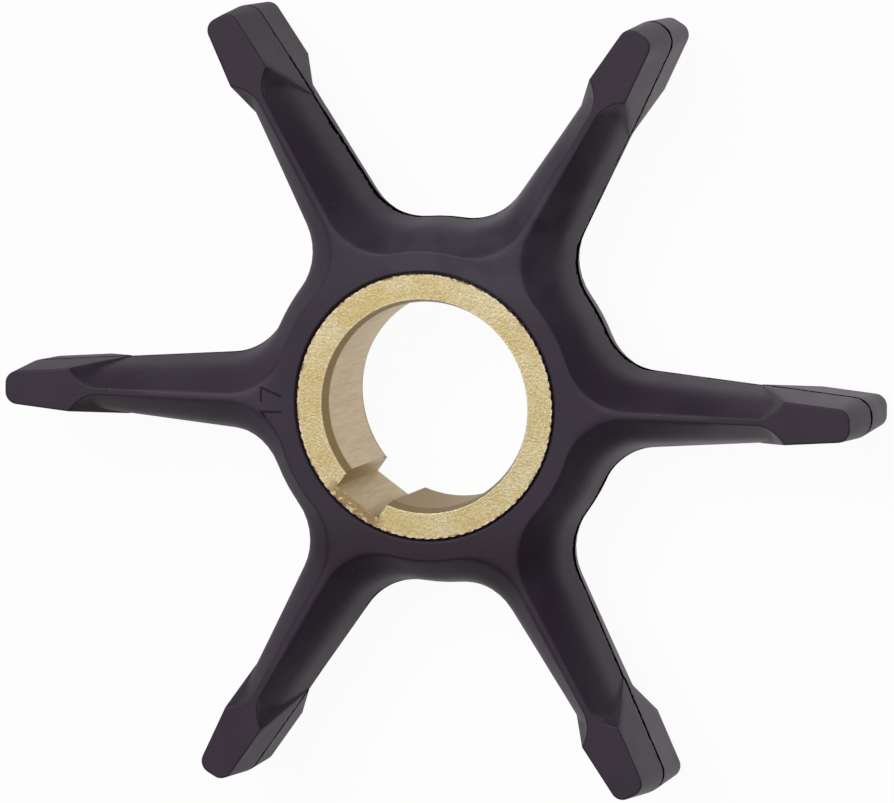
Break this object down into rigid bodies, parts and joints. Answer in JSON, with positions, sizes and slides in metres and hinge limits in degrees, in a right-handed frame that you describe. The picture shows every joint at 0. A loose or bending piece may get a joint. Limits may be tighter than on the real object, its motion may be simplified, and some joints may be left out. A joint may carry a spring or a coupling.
{
  "type": "pump impeller",
  "caption": "Flexible-vane water-pump impeller: a moulded rubber star with relieved vanes and paddle tips, bonded round a knurled brass hub insert with a through keyway.",
  "frame": {"origin": "on the impeller's axis, in the plane of its back face", "axes": "+Z along the axis from the back face to the front face, +X along the middle of one vane"},
  "size_m": [0.0816, 0.0712, 0.0127],
  "materials": {
    "moulded_rubber": "matt moulded rubber, black with a slight purple cast",
    "machined_brass": "turned and sawn, dull"
  },
  "bodies": {
    "root": {"rubber_impeller": "moulded_rubber", "brass_hub_insert": "machined_brass"}
  },
  "joints": []
}
